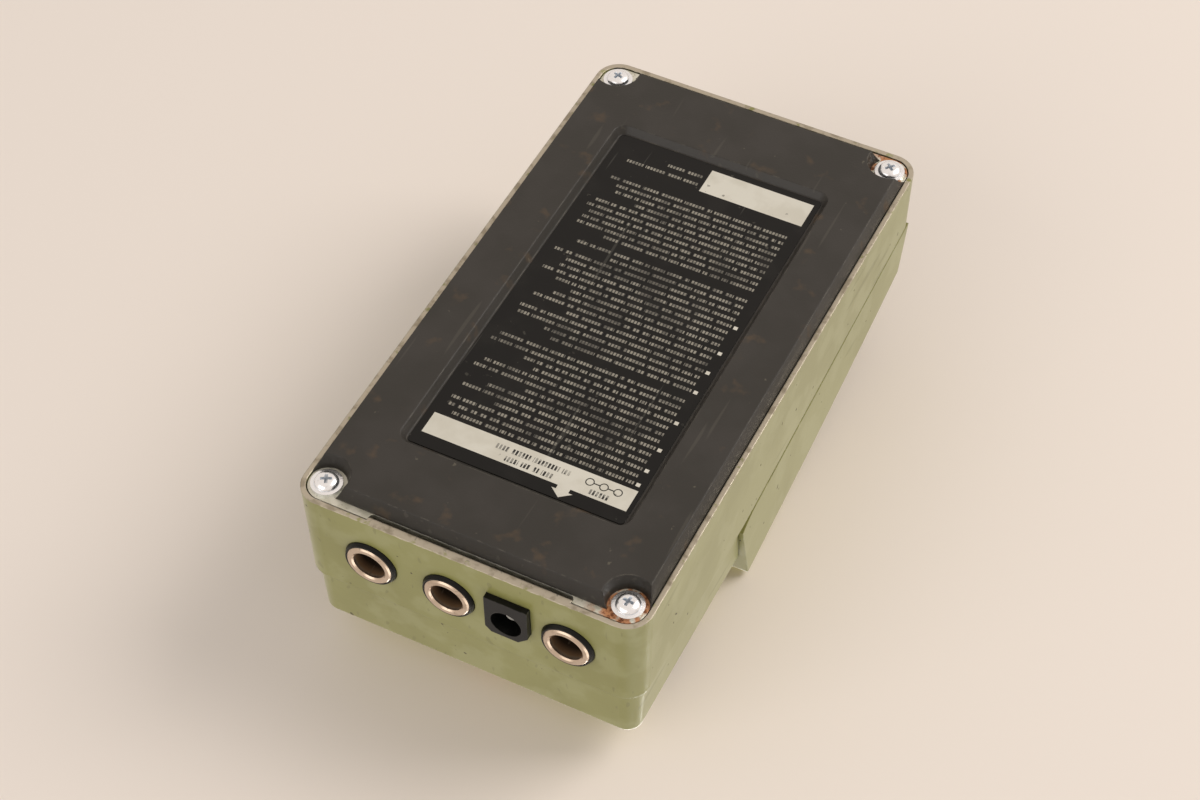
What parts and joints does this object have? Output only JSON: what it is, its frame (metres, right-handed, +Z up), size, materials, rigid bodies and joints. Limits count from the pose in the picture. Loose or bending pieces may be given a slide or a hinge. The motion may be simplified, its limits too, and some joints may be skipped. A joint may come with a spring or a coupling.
{
  "type": "delay pedal",
  "caption": "Compact foot pedal with a hinged treadle, a row of dials, jack sockets in the rear end and a rubber-covered base plate.",
  "frame": {"origin": "middle of the underside, on the lower face of the rubber cover", "axes": "+X to the right as the player stands at the treadle end, +Y towards the jack end, +Z up"},
  "size_m": [0.0703, 0.1286, 0.0515],
  "materials": {
    "green_enamel": "glossy enamel, worn, over die-cast metal",
    "base_steel": "dull plated sheet",
    "black_rubber": "matt, dusty",
    "label_film": "gloss",
    "bright_nickel": "slightly tarnished",
    "screw_steel": "plated, partly rusted",
    "black_plastic": "satin",
    "knob_plastic": "satin",
    "circuit_board": "phenolic board",
    "component_black": "moulded",
    "capacitor_sleeve": "shrink sleeve",
    "contact_brass": "plain",
    "battery_steel": "plain can",
    "foam_grey": "open foam",
    "spring_steel": "bright wire",
    "red_lens": "clear red",
    "fish_paper": "plain sheet"
  },
  "bodies": {
    "pedal": {"housing": "green_enamel", "hinge_pin": "screw_steel", "base_plate": "base_steel", "base_cover": "black_rubber", "base_label": "label_film", "base_insulator": "fish_paper", "base_screws": "screw_steel", "dc_socket": "black_plastic", "dc_socket_pin": "bright_nickel", "main_board": "circuit_board", "board_chips": "component_black", "board_capacitors": "capacitor_sleeve", "board_link": "component_black", "control_board": "circuit_board", "pot_nuts": "bright_nickel", "panel_light": "red_lens", "light_bezel": "bright_nickel", "battery_tray": "black_plastic", "battery": "battery_steel", "battery_snap": "black_plastic", "switch_board": "circuit_board", "switch_body": "component_black", "direct_jack_ring": "black_plastic", "direct_jack_sleeve": "bright_nickel", "direct_jack_body": "black_plastic", "direct_jack_contact": "contact_brass", "output_jack_ring": "black_plastic", "output_jack_sleeve": "bright_nickel", "output_jack_body": "black_plastic", "output_jack_contact": "contact_brass", "input_jack_ring": "black_plastic", "input_jack_sleeve": "bright_nickel", "input_jack_body": "black_plastic", "input_jack_contact": "contact_brass", "time_pot": "base_steel", "repeat_pot": "base_steel", "level_pot": "base_steel", "range_switch": "base_steel"},
    "battery_lid": {"battery_lid": "black_plastic", "battery_pad": "foam_grey", "treadle_spring": "spring_steel"},
    "treadle": {"treadle": "green_enamel", "treadle_pad": "black_rubber", "switch_tip": "black_rubber"},
    "switch_plunger": {"switch_plunger": "black_plastic"},
    "release_catch": {"release_catch": "black_plastic"},
    "time_knob": {"time_knob": "knob_plastic", "time_shaft": "bright_nickel"},
    "repeat_knob": {"repeat_knob": "knob_plastic", "repeat_shaft": "bright_nickel"},
    "level_knob": {"level_knob": "knob_plastic", "level_shaft": "bright_nickel"},
    "range_knob": {"range_knob": "knob_plastic", "range_shaft": "bright_nickel"}
  },
  "joints": [
    {"name": "time_knob_turn", "type": "hinge", "parent": "pedal", "child": "time_knob", "pos_m": [-0.024, 0.03975, 0.0385], "axis": [0, 0, -1], "range_deg": [-150, 150]},
    {"name": "repeat_knob_turn", "type": "hinge", "parent": "pedal", "child": "repeat_knob", "pos_m": [-0.008, 0.03975, 0.0385], "axis": [0, 0, -1], "range_deg": [-150, 150]},
    {"name": "level_knob_turn", "type": "hinge", "parent": "pedal", "child": "level_knob", "pos_m": [0.008, 0.03975, 0.0385], "axis": [0, 0, -1], "range_deg": [-150, 150]},
    {"name": "range_knob_turn", "type": "hinge", "parent": "pedal", "child": "range_knob", "pos_m": [0.024, 0.03975, 0.0385], "axis": [0, 0, -1], "range_deg": [-60, 60]},
    {"name": "battery_lid_hinge", "type": "hinge", "parent": "pedal", "child": "battery_lid", "pos_m": [0, 0.01075, 0.0393], "axis": [-1, 0, 0], "range_deg": [0, 55]},
    {"name": "treadle_hinge", "type": "hinge", "parent": "battery_lid", "child": "treadle", "pos_m": [0, 0.01075, 0.0393], "axis": [1, 0, 0], "range_deg": [0, 1.2], "stiffness_Nm_per_rad": 4, "springref_deg": -2.86, "deforming": ["treadle_spring"]},
    {"name": "switch_plunger_slide", "type": "slide", "parent": "pedal", "child": "switch_plunger", "axis": [0, 0, -1], "range_m": [0, 0.0012]},
    {"name": "release_catch_slide", "type": "slide", "parent": "pedal", "child": "release_catch", "axis": [0, 1, 0], "range_m": [0, 0.003]}
  ],
  "couplings": [
    {"joint": "switch_plunger_slide", "follows": "treadle_hinge", "m_per_rad": 0.054}
  ]
}
